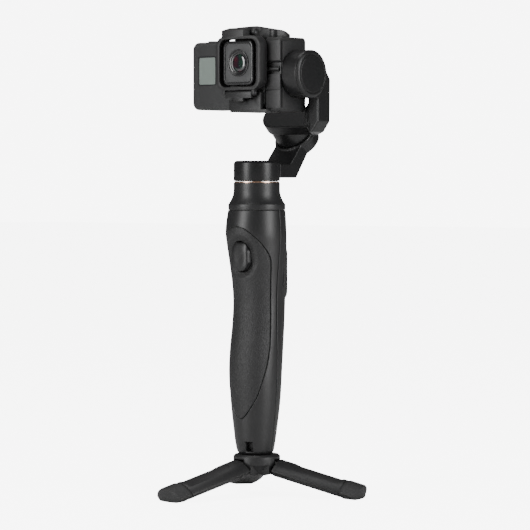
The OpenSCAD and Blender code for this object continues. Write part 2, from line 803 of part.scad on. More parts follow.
bar_in = wall_x + 4;                 // inner side of the arm's upright bar
link_top = tilt_z - 29.5;
link_h = 7.8;
bar_y0 = 0.5;
bar_y1 = 12.5;
module roll_arm() {
    elbow_x = wall_x - 5;
    color(black) difference() {
        union() {
            // round plate on the roll motor, reaching out to the elbow
            hull() {
                roll_place() translate([0, 0, plate_back]) cylinder(r = cup_r, h = plate_t, $fn = 48);
                roll_place() translate([elbow_x - 4, -cup_r, plate_back]) cube([6, 9, plate_t]);
            }
            // elbow from the plate to the upright bar
            hull() {
                roll_place() translate([elbow_x - 4, -cup_r, plate_back]) cube([6, 9, plate_t]);
                facing(bar_y0, bar_y1) polygon([
                    [bar_in + 1, link_top - link_h], [bar_in + 3.4, link_top - link_h],
                    [tilt_out - tilt_cap_t, link_top - 1], [tilt_out - tilt_cap_t, link_top],
                    [bar_in + 1, link_top]
                ]);
            }
            // web in the corner between the bar and the elbow
            facing(bar_y0 + 0.6, bar_y1 - 0.6) polygon([
                [wall_x + gap, link_top - 3], [bar_in + 2, link_top - 3], [bar_in + 2, link_top + 10],
                [bar_in, link_top + 8.4], [wall_x + gap, link_top + 3.6]
            ]);
            // upright bar, blending into the tilt motor's housing
            sideways(bar_in, tilt_out - tilt_cap_t) polygon([
                [bar_y0, link_top - 1], [bar_y0, tilt_z - tilt_r], [tilt_y, tilt_z - tilt_r + 0.2],
                [tilt_y + 8, tilt_z + tilt_r - 1.7], [bar_y1 + 0.8, tilt_z - 3], [bar_y1 + 0.5, link_top + 2],
                [bar_y1, link_top - 1]
            ]);
            translate([0, tilt_y, tilt_z]) rod_x(wall_x + gap, tilt_out - tilt_cap_t, tilt_r);
        }
        translate([0, tilt_y, tilt_z]) rod_x(wall_x - 1, tilt_floor_x, tilt_bell_r + gap);
        roll_place() translate([0, 0, plate_back - 1]) cylinder(r = 4, h = 3);
    }
    color(black) tilt_place() motor_post(tilt_motor_h);
}

// ---- tilt axis ----
module tilt_cap() {
    color(black) difference() {
        translate([tilt_out - tilt_cap_t, tilt_y, tilt_z]) rotate([0, 90, 0])
            cylinder(r1 = tilt_r, r2 = tilt_r - 1.4, h = tilt_cap_t);
        translate([tilt_out - 0.5, tilt_y, tilt_z]) rotate([0, 90, 0]) ring(tilt_r - 3, tilt_r - 3.6, 2);
    }
}

module tilt_bell() {
    color(charcoal) tilt_place() motor_bell(tilt_bell_r, tilt_motor_h, gap);
}

module tilt_magnets() {
    color(steel) tilt_place() motor_magnets(tilt_bell_r, tilt_motor_h);
}

module tilt_stator() {
    color(copper) tilt_place() motor_stator(tilt_bell_r, tilt_motor_h);
}

module tilt_bearings() {
    color(steel) tilt_place() motor_bearings(tilt_motor_h);
}

module tilt_shaft() {
    color(steel) tilt_place() motor_shaft(tilt_motor_h);
}

// ---- camera cradle ----
floor_l = -1.5;        // left end of the cradle's shelf and lip
module cradle() {
    wall_h = bridge_z - shelf_z;
    corner = 3;
    channel_z = shelf_z + 28.6;
    lip_r = wall_in - 2;
    color(black) union() {
        // motor wall beside the camera, with a channel for a hinge rod across its front
        difference() {
            sideways(wall_in, wall_x) translate([(cam_front_y + cam_back_y) / 2, shelf_z + wall_h / 2])
                rrect(cam_d, wall_h, corner);
            sideways(wall_in - 1, wall_x + 1) translate([cam_front_y, channel_z]) polygon([
                [-1, 5.5], [0, 4.4], [1.8, 3], [1.8, -4.4], [-1, -4.4]
            ]);
            sideways(wall_in - 1, wall_x + 1) translate([cam_front_y, shelf_z + 13.6]) square([0.8, 0.7]);
            sideways(wall_x - 0.6, wall_x + 1) translate([cam_front_y + 1.6, shelf_z + 3]) square([0.8, wall_h - 6]);
        }
        translate([0, cam_front_y + 1.8, channel_z - 1]) rod_x(wall_in, wall_x - 1.6, 1.5);
        // shelves under and over the camera
        translate([floor_l + 1, cam_front_y - lip_t, shelf_z])
            cube([wall_in - floor_l + 2, cam_d + lip_t, shelf_t]);
        translate([nose_l, cam_front_y + 5, top_z]) cube([wall_in - nose_l + 4, cam_d - 8, shelf_up_t]);
        // lip in front of the camera, with a rounded lower corner
        facing(cam_front_y - lip_t, cam_front_y - fit_gap) difference() {
            union() {
                translate([floor_l, shelf_z]) square([lip_r - floor_l, lip_h]);
                translate([lens_x + 9, shelf_z]) square([lip_r - lens_x - 9, lip_h + 4.6]);
            }
            translate([floor_l, shelf_z]) difference() {
                translate([-1, -1]) square([1 + corner, 1 + corner]);
                translate([corner, corner]) circle(corner);
            }
        }
    }
}

module cradle_pad() {
    color(rubber) sideways(wall_in - pad_t, wall_in)
        translate([(cam_front_y + cam_back_y) / 2, cam_z + cam_h / 2]) rrect(cam_d - 4, cam_h - 6, 3);
}

// Top arm that carries the clamp ring's hinge. Its flank swings out and ends in a point at the rear.
module clamp_bridge() {
    ridge_z = bridge_z + bridge_h;
    color(black) difference() {
        union() {
            intersection() {
                translate([0, 0, bridge_z]) linear_extrude(bridge_h + 1) difference() {
                    polygon([
                        [nose_l - gap, bridge_front], [nose_r + gap + knuckle_w, bridge_front],
                        [nose_r + 7, bridge_front + 5], [nose_r + 12, cam_back_y - 5],
                        [wall_in - 1, cam_back_y], [wall_in - 12, cam_back_y - 1],
                        [nose_l - gap, bridge_front + 12]
                    ]);
                    translate([nose_r + 11.4, bridge_front + 5.6]) circle(4.6);
                }
                sideways(nose_l - 8, wall_in + 5) polygon([
                    [bridge_front, bridge_z - 1], [bridge_front, ridge_z - 1.2], [bridge_front + 6, ridge_z],
                    [bridge_front + 11, ridge_z - 2], [cam_back_y + 1, bridge_z + 2.4],
                    [cam_back_y + 1, bridge_z - 1]
                ]);
                facing(bridge_front - 1, cam_back_y + 2) polygon([
                    [nose_l - 9, bridge_z - 1], [nose_l - 9, ridge_z - 1.6], [lens_x - 5, ridge_z],
                    [lens_x, ridge_z], [wall_in + 1, ridge_z - 3.4], [wall_in + 1, bridge_z - 1]
                ]);
            }
            for (x = [nose_l - gap - knuckle_w, nose_r + gap]) {
                translate([0, clamp_pin_y, clamp_pin_z]) rod_x(x, x + knuckle_w, knuckle_r);
                translate([x, clamp_pin_y, bridge_z + 0.2]) cube([knuckle_w, 7, clamp_pin_z - bridge_z - 0.2]);
                translate([x, bridge_front, bridge_z]) cube([knuckle_w, 4, clamp_pin_z - bridge_z + knuckle_r]);
            }
        }
        translate([0, clamp_pin_y, clamp_pin_z]) rod_x(nose_l - 9, nose_r + 20, clamp_pin_r);
    }
}

module clamp_pin() {
    color(steel) translate([0, clamp_pin_y, clamp_pin_z])
        rod_x(nose_l - gap - knuckle_w + 0.3, nose_r + gap + knuckle_w - 0.3, clamp_pin_r);
}

// Hinged frame that goes round the lens block and holds the camera in.
module clamp_ring() {
    tab_w = 2.2;
    color(black) difference() {
        union() {
            facing(ring_front, ring_back) translate([lens_x, lens_z]) rrect(ring_w, ring_h, 7);
            // nose above the ring, running back to the hinge pin
            sideways(nose_l, nose_r) union() {
                translate([clamp_pin_y, clamp_pin_z]) circle(knuckle_r);
                polygon([
                    [ring_front, ring_top - 1], [ring_front, clamp_pin_z + 1.2],
                    [clamp_pin_y - 1.4, clamp_pin_z + 3.2], [clamp_pin_y, clamp_pin_z + knuckle_r],
                    [clamp_pin_y, clamp_pin_z - knuckle_r], [ring_back, ring_top - 1]
                ]);
            }
            // tabs that hold the latch's pin
            for (x = [lens_x - latch_w / 2 - tab_w - fit_gap, lens_x + latch_w / 2 + fit_gap]) {
                translate([0, latch_pin_y, latch_pin_z]) rod_x(x, x + tab_w, latch_r);
                translate([x, latch_pin_y - latch_r, latch_pin_z])
                    cube([tab_w, 2 * latch_r, ring_low + 3 - latch_pin_z]);
            }
        }
        facing(ring_front - 1, ring_back + 1) translate([lens_x, lens_z])
            rrect(ring_w - 2 * ring_bar, lens_h + 2 * ring_gap_z, 5);
        translate([0, clamp_pin_y, clamp_pin_z]) rod_x(nose_l - 9, nose_r + 9, clamp_pin_r + run_fit);
        translate([0, latch_pin_y, latch_pin_z]) rod_x(-50, 50, latch_pin_r);
    }
}

// Snap lever under the ring, with a middle hook over the cradle's lip.
module latch() {
    low = shelf_z + lip_h - 1.4;
    color(black) difference() {
        union() {
            translate([0, latch_pin_y, latch_pin_z]) rod_x(lens_x - latch_w / 2, lens_x + latch_w / 2, latch_r);
            translate([lens_x - latch_w / 2, latch_pin_y - latch_r, low + 2])
                cube([latch_w, 1.4, latch_pin_z - low - 2]);
            translate([lens_x - 4, latch_pin_y - latch_r, low]) cube([8, 2, latch_pin_z - low]);
        }
        translate([0, latch_pin_y, latch_pin_z]) rod_x(-50, 50, latch_pin_r + run_fit);
    }
}

module latch_pin() {
    reach = latch_w / 2 + fit_gap + 2;
    color(steel) translate([0, latch_pin_y, latch_pin_z]) rod_x(lens_x - reach, lens_x + reach, latch_pin_r);
}

// ---- camera ----
screen_x = -23;
screen_z = cam_z + 25.6;
screen_w = 14.2;
screen_h = 18;
button_x = -24.5;
button_well = 2.2;
button_lift = 0.9;     // under the shutter button
front_y = cam_front_y - lens_out;    // face of the lens block
module camera_body() {
    mid = [(cam_left + cam_right) / 2, (cam_z + cam_top) / 2];
    color([0.16, 0.165, 0.17]) difference() {
        facing(cam_front_y, cam_back_y) translate(mid) rrect(cam_w, cam_h, 5);
        facing(cam_front_y - 1, cam_front_y + 0.8) translate([screen_x, screen_z]) rrect(screen_w, screen_h, 1);
        translate([button_x, cam_front_y + 9, cam_top - button_well]) cylinder(r = 4.3 + gap, h = 5);
    }
}

module camera_lens() {
    color([0.05, 0.05, 0.055]) difference() {
        union() {
            facing(front_y, cam_front_y) translate([lens_x, lens_z]) rrect(lens_w, lens_h, 5);
            translate([lens_x, cam_front_y, lens_z]) rotate([90, 0, 0]) cylinder(r = lens_r, h = lens_out + 0.6);
        }
        translate([lens_x, front_y + 5, lens_z]) rotate([90, 0, 0]) cylinder(r = lens_r - 1.6, h = 20);
    }
}

module camera_glass() {
    dome = 14;
    color([0.12, 0.05, 0.08]) intersection() {
        translate([lens_x, front_y + 5, lens_z]) rotate([90, 0, 0]) cylinder(r = lens_r - 1.6, h = 5);
        translate([lens_x, front_y + 1 + dome, lens_z]) sphere(dome);
    }
}

module camera_screen() {
    color([0.45, 0.5, 0.47]) facing(cam_front_y, cam_front_y + 0.8) translate([screen_x, screen_z])
        rrect(screen_w, screen_h, 1);
}

module camera_button() {
    color([0.16, 0.165, 0.17]) translate([button_x, cam_front_y + 9, cam_top - button_well + button_lift])
        cylinder(r = 4.3, h = button_well - button_lift + 1);
}

tripod_head();
tripod_stud();
leg_pins();
leg(leg_angles[0]);  // leg_a
leg(leg_angles[1]);  // leg_b
leg(leg_angles[2]);  // leg_c
foot(leg_angles[0]);  // foot_a
foot(leg_angles[1]);  // foot_b
foot(leg_angles[2]);  // foot_c
handle_front_shell();
handle_rear_shell();
grip_inlay();
base_insert();
neck_collar();
accent_ring();
battery_cell();
battery_tray();
main_board();
shell_screws();
control_panel();
joystick_yoke();
joystick_cap();
mode_button();
record_button();
status_light();
usb_port();
usb_cover();
trigger();
trigger_pin();
trigger_switch();
pan_bell();
pan_magnets();
pan_stator();
pan_bearings();
pan_shaft();
pan_arm();
roll_bell();
roll_magnets();
roll_stator();
roll_bearings();
roll_shaft();
roll_arm();
tilt_bell();
tilt_magnets();
tilt_stator();
tilt_bearings();
tilt_shaft();
tilt_cap();
cradle();
cradle_pad();
clamp_bridge();
clamp_pin();
clamp_ring();
latch();
latch_pin();
camera_body();
camera_lens();
camera_glass();
camera_screen();
camera_button();
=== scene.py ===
import json
import math
import bpy
import bmesh
import numpy as np
from mathutils import Matrix, Vector


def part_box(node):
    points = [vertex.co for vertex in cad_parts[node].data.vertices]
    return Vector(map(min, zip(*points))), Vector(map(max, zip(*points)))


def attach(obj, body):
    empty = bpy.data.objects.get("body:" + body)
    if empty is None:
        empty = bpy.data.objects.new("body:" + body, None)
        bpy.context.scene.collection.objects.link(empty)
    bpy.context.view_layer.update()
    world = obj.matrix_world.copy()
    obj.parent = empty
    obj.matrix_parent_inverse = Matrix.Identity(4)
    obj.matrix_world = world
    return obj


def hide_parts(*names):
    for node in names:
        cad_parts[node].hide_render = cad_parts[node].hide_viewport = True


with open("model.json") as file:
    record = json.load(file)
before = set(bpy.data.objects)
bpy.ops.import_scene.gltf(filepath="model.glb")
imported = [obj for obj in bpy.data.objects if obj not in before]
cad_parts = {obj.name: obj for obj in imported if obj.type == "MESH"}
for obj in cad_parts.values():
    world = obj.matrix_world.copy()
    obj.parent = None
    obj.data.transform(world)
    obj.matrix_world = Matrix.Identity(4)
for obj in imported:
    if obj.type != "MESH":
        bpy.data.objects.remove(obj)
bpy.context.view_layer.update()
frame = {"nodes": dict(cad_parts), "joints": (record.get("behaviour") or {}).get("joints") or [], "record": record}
nodes = frame["nodes"]
bodyOf = {n: b for b, ns in frame["record"]["behaviour"]["bodies"].items() for n in ns}
slotOf = {s["node"]: s["material_slot"] for s in frame["record"]["subparts"]}
mm = 0.001
floorZ = min(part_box("foot_" + k)[0].z for k in "abc")


# materials
def addNode(tree, kind, **inputs):
    node = tree.nodes.new(kind)
    for key, value in inputs.items():
        node.inputs[key.replace("_", " ")].default_value = value
    return node


# fine grain in gloss and relief, and broad patches in the colour
def finish(name, tone, rough, metal=0.0, grain=900, bump=0.12, depth=0.00008, spread=0.12,
           roughSpread=0.06, stretch=(1, 1, 1), coat=0.0):
    mat = bpy.data.materials.new(name)
    mat.use_nodes = True
    tree = mat.node_tree
    shader = tree.nodes["Principled BSDF"]
    shader.inputs["Metallic"].default_value = metal
    shader.inputs["Coat Weight"].default_value = coat
    link = tree.links.new
    where = tree.nodes.new("ShaderNodeTexCoord")
    turn = tree.nodes.new("ShaderNodeMapping")
    turn.inputs["Scale"].default_value = stretch
    link(where.outputs["Object"], turn.inputs["Vector"])
    fine = addNode(tree, "ShaderNodeTexNoise", Scale=grain, Detail=3.0, Roughness=0.6)
    broad = addNode(tree, "ShaderNodeTexNoise", Scale=90.0, Detail=4.0)
    link(turn.outputs["Vector"], fine.inputs["Vector"])
    link(where.outputs["Object"], broad.inputs["Vector"])
    mix = tree.nodes.new("ShaderNodeMixRGB")
    mix.inputs["Color1"].default_value = [c * (1 - spread) for c in tone] + [1]
    mix.inputs["Color2"].default_value = [min(1, c * (1 + spread)) for c in tone] + [1]
    link(broad.outputs["Fac"], mix.inputs["Fac"])
    link(mix.outputs["Color"], shader.inputs["Base Color"])
    span = addNode(tree, "ShaderNodeMapRange", To_Min=rough - roughSpread, To_Max=rough + roughSpread)
    link(fine.outputs["Fac"], span.inputs["Value"])
    link(span.outputs["Result"], shader.inputs["Roughness"])
    relief = addNode(tree, "ShaderNodeBump", Strength=bump, Distance=depth)
    link(fine.outputs["Fac"], relief.inputs["Height"])
    link(relief.outputs["Normal"], shader.inputs["Normal"])
    return mat


# pebbled cells over the fine grain
def leatherGrain(name, tone, rough):
    mat = finish(name, tone, rough, grain=1500, bump=0.25)
    tree = mat.node_tree
    cells = addNode(tree, "ShaderNodeTexVoronoi", Scale=1000.0)
    cells.feature = "DISTANCE_TO_EDGE"
    where = next(n for n in tree.nodes if n.type == "TEX_COORD")
    relief = next(n for n in tree.nodes if n.type == "BUMP")
    tree.links.new(where.outputs["Object"], cells.inputs["Vector"])
    second = addNode(tree, "ShaderNodeBump", Strength=0.9, Distance=0.0003)
    tree.links.new(cells.outputs["Distance"], second.inputs["Height"])
    tree.links.new(relief.outputs["Normal"], second.inputs["Normal"])
    tree.links.new(second.outputs["Normal"], tree.nodes["Principled BSDF"].inputs["Normal"])
    return mat


# fine rings left by a lathe
def turnedMetal(name, tone, rough, axis="Z"):
    mat = finish(name, tone, rough, 1.0, grain=700, bump=0.05)
    tree = mat.node_tree
    rings = addNode(tree, "ShaderNodeTexWave", Scale=900.0, Distortion=0.6)
    rings.wave_type = "BANDS"
    rings.bands_direction = axis
    where = next(n for n in tree.nodes if n.type == "TEX_COORD")
    relief = next(n for n in tree.nodes if n.type == "BUMP")
    tree.links.new(where.outputs["Object"], rings.inputs["Vector"])
    second = addNode(tree, "ShaderNodeBump", Strength=0.08, Distance=0.00005)
    tree.links.new(rings.outputs["Fac"], second.inputs["Height"])
    tree.links.new(relief.outputs["Normal"], second.inputs["Normal"])
    tree.links.new(second.outputs["Normal"], tree.nodes["Principled BSDF"].inputs["Normal"])
    return mat


# painted reflection: red and green patches in the base colour stand in for the tinted reflections of coated glass
def lensGlassPaintedReflection(name):
    mat = finish(name, (0.012, 0.004, 0.008), 0.06, grain=300, bump=0.0, roughSpread=0.02, coat=1.0)
    tree = mat.node_tree
    shader = tree.nodes["Principled BSDF"]
    where = next(n for n in tree.nodes if n.type == "TEX_COORD")
    # the noise sets where the painted red and green reflection patches fall
    spot = addNode(tree, "ShaderNodeTexNoise", Scale=130.0, Detail=1.0)
    tree.links.new(where.outputs["Object"], spot.inputs["Vector"])
    # painted reflection: the ramp turns the noise into red and green reflection tints in the base colour
    ramp = tree.nodes.new("ShaderNodeValToRGB")
    ramp.color_ramp.elements[0].position = 0.36
    ramp.color_ramp.elements[0].color = (0.05, 0.006, 0.014, 1)
    ramp.color_ramp.elements[1].position = 0.68
    ramp.color_ramp.elements[1].color = (0.012, 0.05, 0.03, 1)
    middle = ramp.color_ramp.elements.new(0.5)
    middle.color = (0.01, 0.006, 0.012, 1)
    tree.links.new(spot.outputs["Fac"], ramp.inputs["Fac"])
    tree.links.new(ramp.outputs["Color"], shader.inputs["Base Color"])
    return mat


looks = {
    "mattePlastic": finish("mattePlastic", (0.011, 0.011, 0.0115), 0.46, grain=1500, bump=0.16),
    "satinPlastic": finish("satinPlastic", (0.011, 0.011, 0.0115), 0.4, grain=1700, bump=0.1),
    "handlePlastic": finish("handlePlastic", (0.012, 0.012, 0.0125), 0.40, grain=1600, bump=0.1),
    "anodisedBlack": finish("anodisedBlack", (0.013, 0.013, 0.0135), 0.34, 0.3, grain=2200, bump=0.06),
    "gripRubber": leatherGrain("gripRubber", (0.012, 0.012, 0.0125), 0.52),
    "footRubber": leatherGrain("footRubber", (0.015, 0.015, 0.0155), 0.55),
    "cameraGrey": finish("cameraGrey", (0.017, 0.0175, 0.018), 0.52, grain=1900, bump=0.2, depth=0.00012),
    "lensBlack": finish("lensBlack", (0.010, 0.010, 0.011), 0.28, grain=1200, bump=0.04, coat=0.3),
    "windowGrey": finish("windowGrey", (0.050, 0.051, 0.052), 0.42, grain=1300, bump=0.04),
    # lens glass with painted red and green reflection patches in its colour
    "lensGlassPaintedReflection": lensGlassPaintedReflection("lensGlassPaintedReflection"),
    "displayGrey": finish("displayGrey", (0.20, 0.235, 0.215), 0.22, grain=420, bump=0.01, spread=0.05, coat=0.5),
    "copperRing": turnedMetal("copperRing", (0.78, 0.50, 0.36), 0.24),
    "brassTurned": turnedMetal("brassTurned", (0.72, 0.52, 0.26), 0.3),
    "steelTurned": turnedMetal("steelTurned", (0.55, 0.56, 0.58), 0.28, "X"),
    "magnetSteel": turnedMetal("magnetSteel", (0.42, 0.42, 0.44), 0.34),
    "copperWire": finish("copperWire", (0.52, 0.22, 0.10), 0.32, 0.9, grain=2600, bump=0.4, depth=0.0002,
                         stretch=(1, 1, 6)),
    "boardGreen": finish("boardGreen", (0.012, 0.075, 0.035), 0.35, grain=800, bump=0.1, coat=0.3),
    "cellWrap": finish("cellWrap", (0.05, 0.10, 0.20), 0.3, grain=300, bump=0.05, coat=0.2),
    "switchGrey": finish("switchGrey", (0.16, 0.16, 0.17), 0.45, grain=900, bump=0.1),
    "buttonRed": leatherGrain("buttonRed", (0.22, 0.012, 0.012), 0.5),
    "lightPipe": finish("lightPipe", (0.30, 0.55, 0.38), 0.2, grain=400, bump=0.02, coat=0.6),
}
slotLooks = {
    "matte_black": "mattePlastic", "charcoal_plastic": "satinPlastic", "soft_rubber": "footRubber",
    "anodised_black": "anodisedBlack", "steel": "steelTurned", "magnet_steel": "magnetSteel",
    "windings": "copperWire", "brass": "brassTurned", "copper_accent": "copperRing", "cell_wrap": "cellWrap",
    "board_green": "boardGreen", "switch_plastic": "switchGrey", "red_button": "buttonRed",
    "light_pipe": "lightPipe", "camera_grey": "cameraGrey", "lens_black": "lensBlack",
    "lens_glass": "lensGlassPaintedReflection", "display_grey": "displayGrey",
}
for nodeName, nodeObject in nodes.items():
    nodeObject.data.materials.clear()
    nodeObject.data.materials.append(looks[slotLooks[slotOf[nodeName]]])
print("materials ready")


# mesh helpers
def makeObject(name, verts, faces, look, smooth=True):
    mesh = bpy.data.meshes.new(name)
    mesh.from_pydata([tuple(v) for v in verts], [], [tuple(f) for f in faces])
    mesh.validate()
    obj = bpy.data.objects.new(name, mesh)
    bpy.context.scene.collection.objects.link(obj)
    mesh.materials.append(looks[look])
    if smooth:
        for polygon in mesh.polygons:
            polygon.use_smooth = True
    return obj


# sets the body and the CAD nodes it stands for
def place(obj, *replaced, body=None, slot=None):
    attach(obj, body or bodyOf[replaced[0]])
    if replaced:
        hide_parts(*replaced)
    return obj


def applyAll(obj):
    bpy.context.view_layer.update()
    graph = bpy.context.evaluated_depsgraph_get()
    mesh = bpy.data.meshes.new_from_object(obj.evaluated_get(graph))
    obj.modifiers.clear()
    obj.data = mesh
    return obj


def sharpenByAngle(obj, degrees=32):
    mesh = obj.data
    limit = math.radians(degrees)
    shape = bmesh.new()
    shape.from_mesh(mesh)
    for face in shape.faces:
        face.smooth = True
    for edge in shape.edges:
        edge.smooth = not (len(edge.link_faces) == 2 and edge.calc_face_angle(0) > limit)
    shape.to_mesh(mesh)
    shape.free()
    return obj


def fixNormals(obj):
    shape = bmesh.new()
    shape.from_mesh(obj.data)
    bmesh.ops.remove_doubles(shape, verts=shape.verts, dist=1e-7)
    bmesh.ops.recalc_face_normals(shape, faces=shape.faces)
    shape.to_mesh(obj.data)
    shape.free()
    return obj


# one merged copy of some CAD nodes, with flat faces joined up
def cadCopy(name, look, *nodeNames):
    shape = bmesh.new()
    for nodeName in nodeNames:
        shape.from_mesh(nodes[nodeName].data)
    bmesh.ops.remove_doubles(shape, verts=shape.verts, dist=2e-6)
    bmesh.ops.dissolve_limit(shape, angle_limit=math.radians(0.6), verts=shape.verts, edges=shape.edges)
    mesh = bpy.data.meshes.new(name)
    shape.to_mesh(mesh)
    shape.free()
    obj = bpy.data.objects.new(name, mesh)
    bpy.context.scene.collection.objects.link(obj)
    mesh.materials.clear()
    mesh.materials.append(looks[look])
    return obj


# a CAD shape with its edges rounded
def beveled(name, look, *nodeNames, width=0.5, steps=3, angle=32):
    obj = cadCopy(name, look, *nodeNames)
    edge = obj.modifiers.new("edges", "BEVEL")
    edge.width = width * mm
    edge.segments = steps
    edge.limit_method = "ANGLE"
    edge.angle_limit = math.radians(angle)
    edge.miter_outer = "MITER_ARC"
    applyAll(obj)
    sharpenByAngle(obj, 40)
    return place(obj, *nodeNames)


# a CAD shape with its corners softened all over
def melted(name, look, *nodeNames, voxel=0.45, passes=8, extra=None):
    obj = cadCopy(name, look, *nodeNames)
    if extra:
        shape = bmesh.new()
        shape.from_mesh(obj.data)
        extra(shape)
        shape.to_mesh(obj.data)
        shape.free()
    block = obj.modifiers.new("skin", "REMESH")
    block.mode = "VOXEL"
    block.voxel_size = voxel * mm
    block.use_smooth_shade = True
    even = obj.modifiers.new("even", "SMOOTH")
    even.factor = 0.5
    even.iterations = passes
    applyAll(obj)
    for polygon in obj.data.polygons:
        polygon.use_smooth = True
    return place(obj, *nodeNames)


# corner points of a rounded rectangle, anticlockwise
def roundedOutline(w, h, r, steps=8):
    r = max(r, 1e-5)
    points = []
    for cx, cy, start in ((1, 1, 0), (-1, 1, 90), (-1, -1, 180), (1, -1, 270)):
        for i in range(steps + 1):
            a = math.radians(start + 90 * i / steps)
            points.append((cx * (w / 2 - r) + r * math.cos(a), cy * (h / 2 - r) + r * math.sin(a)))
    return points


# inset and depth along a wall whose two edges are rounded
def edgePath(y0, y1, edge, steps=4):
    path = []
    for i in range(steps + 1):
        a = math.pi / 2 * i / steps
        path.append((edge * (1 - math.sin(a)), y0 + edge * (1 - math.cos(a))))
    for i in range(steps + 1):
        a = math.pi / 2 * i / steps
        path.append((edge * (1 - math.cos(a)), y1 - edge * (1 - math.sin(a))))
    return path


# a rounded plate from y0 to y1, with an optional window through it
def slab(name, look, centre, size, radius, y0, y1, edge=0.6, hole=None, holeRadius=2.0, holeEdge=0.5):
    cx, cz = centre
    w, h = size
    rings = []
    for inset, y in edgePath(y0, y1, edge):
        rings.append([(cx + x, y, cz + z) for x, z in roundedOutline(w - 2 * inset, h - 2 * inset, radius - inset)])
    if hole:
        for inset, y in reversed(edgePath(y0, y1, holeEdge)):
            outline = roundedOutline(hole[0] + 2 * inset, hole[1] + 2 * inset, holeRadius + inset)
            rings.append([(cx + x, y, cz + z) for x, z in outline])
        rings.append(rings[0])
    count = len(rings[0])
    verts = [tuple(c * mm for c in p) for ring in rings for p in ring]
    faces = []
    for k in range(len(rings) - 1):
        for i in range(count):
            j = (i + 1) % count
            faces.append((k * count + i, k * count + j, (k + 1) * count + j, (k + 1) * count + i))
    if not hole:
        faces.append(tuple(range(count - 1, -1, -1)))
        faces.append(tuple((len(rings) - 1) * count + i for i in range(count)))
    return sharpenByAngle(fixNormals(makeObject(name, verts, faces, look)), 50)


# a third number in a point is how far its corner is rounded
def roundCorners(points, steps=4):
    path = []
    for k, point in enumerate(points):
        x, y, r = (*point, 0)[:3]
        if r <= 0 or k in (0, len(points) - 1):
            path.append((x, y))
            continue
        here = Vector((x, y))
        back = (Vector(points[k - 1][:2]) - here)
        ahead = (Vector(points[k + 1][:2]) - here)
        reach = min(r, back.length * 0.45, ahead.length * 0.45)
        a, b = here + back.normalized() * reach, here + ahead.normalized() * reach
        for i in range(steps + 1):
            t = i / steps
            p = a * (1 - t) ** 2 + here * 2 * t * (1 - t) + b * t ** 2
            path.append((p.x, p.y))
    return path


# a profile of radius and height turned round Z
def lathe(name, look, profile, matrix=None, sides=128, sharp=50):
    path = roundCorners(profile)
    verts, faces, rows = [], [], []
    for r, z in path:
        if r < 1e-4:
            rows.append([len(verts)])
            verts.append((0, 0, z * mm))
        else:
            rows.append(list(range(len(verts), len(verts) + sides)))
            for i in range(sides):
                a = 2 * math.pi * i / sides
                verts.append((r * mm * math.cos(a), r * mm * math.sin(a), z * mm))
    for low, high in zip(rows, rows[1:]):
        for i in range(sides):
            j = (i + 1) % sides
            corners = [low[i % len(low)], low[j % len(low)], high[j % len(high)], high[i % len(high)]]
            unique = list(dict.fromkeys(corners))
            if len(unique) > 2:
                faces.append(tuple(unique))
    obj = makeObject(name, verts, faces, look)
    fixNormals(obj)
    if matrix is not None:
        obj.data.transform(matrix)
    return sharpenByAngle(obj, sharp)


def joinInto(target, *others):
    shape = bmesh.new()
    shape.from_mesh(target.data)
    for other in others:
        shape.from_mesh(other.data)
        bpy.data.objects.remove(other)
    shape.to_mesh(target.data)
    shape.free()
    return target


# handle
grip = {
    "radius": 17.6,
    # share of the height, share of the radius, shift of the centre to the rear
    "stations": [
        (0, 0.62, -1.4), (0.008, 0.675, -1.4), (0.02, 0.71, -1.45), (0.037, 0.74, -1.5), (0.11, 0.83, -1.4),
        (0.21, 0.93, -1.25), (0.36, 1.0, -1.0), (0.43, 1.0, -0.1), (0.53, 0.98, 1.7), (0.63, 0.975, 2.6),
        (0.7, 1.0, 2.2), (0.78, 1.06, 1.25), (0.85, 1.115, 0.2), (0.9, 1.145, -0.7), (0.95, 1.125, -0.6),
        (1.0, 1.075, 0.0),
    ],
    "rowStep": 0.42,
    # height above the base, angle from the front to the edge of the soft inlay
    "inlayEdge": [
        (23.6, 0), (24.2, 7), (26.2, 15.5), (29.2, 23.7), (33.5, 34), (38.8, 43.8), (49.7, 56.9), (60.3, 65.8),
        (71.6, 69.6), (86.8, 67.6), (101.4, 65.4), (116.8, 66.3), (124, 67.6), (129.0, 66.8), (132.8, 61.8),
        (139.3, 48.5), (144.2, 34.5), (147.2, 24), (149.3, 13.5), (150.1, 0),
    ],
    "seamGap": 0.16,
    "rollDepth": 0.55,
    "flange": 1.6,         # tongue of a shell that runs under its neighbour
    "flangeDepth": 1.3,
    "dishDepth": 2.3,
    "dishReach": 5.5,
    "pocketDepth": 4.5,
}
lever = {"width": 14.4, "extraHeight": 0.6, "sides": 96, "steps": 22, "crown": 1.9, "scoop": 0.5, "lean": 0.10}
shellLow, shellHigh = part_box("handle_front_shell")
gripLow, gripHigh = shellLow.z / mm, shellHigh.z / mm
gripLength = gripHigh - gripLow
trigLow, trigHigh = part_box("trigger")
trigCentre = (trigLow.z + trigHigh.z) / 2 / mm
trigWidth = lever["width"]
trigHeight = (trigHigh.z - trigLow.z) / mm + lever["extraHeight"]


# a smooth curve through one column of the stations
def smoothCurve(table, column):
    xs = np.array([row[0] for row in table]) * gripLength + gripLow
    ys = np.array([row[column] for row in table], float)
    slopes = np.gradient(ys, xs)

    def value(z):
        z = np.clip(z, xs[0], xs[-1])
        k = np.clip(np.searchsorted(xs, z) - 1, 0, len(xs) - 2)
        h = xs[k + 1] - xs[k]
        t = (z - xs[k]) / h
        return ((2 * t ** 3 - 3 * t ** 2 + 1) * ys[k] + (t ** 3 - 2 * t ** 2 + t) * h * slopes[k]
                + (-2 * t ** 3 + 3 * t ** 2) * ys[k + 1] + (t ** 3 - t ** 2) * h * slopes[k + 1])
    return value


shareAt = smoothCurve(grip["stations"], 1)
shiftAt = smoothCurve(grip["stations"], 2)


def radiusAt(z):
    return shareAt(z) * grip["radius"]


def smoothstep(low, high, value):
    t = np.clip((value - low) / (high - low), 0, 1)
    return t * t * (3 - 2 * t)


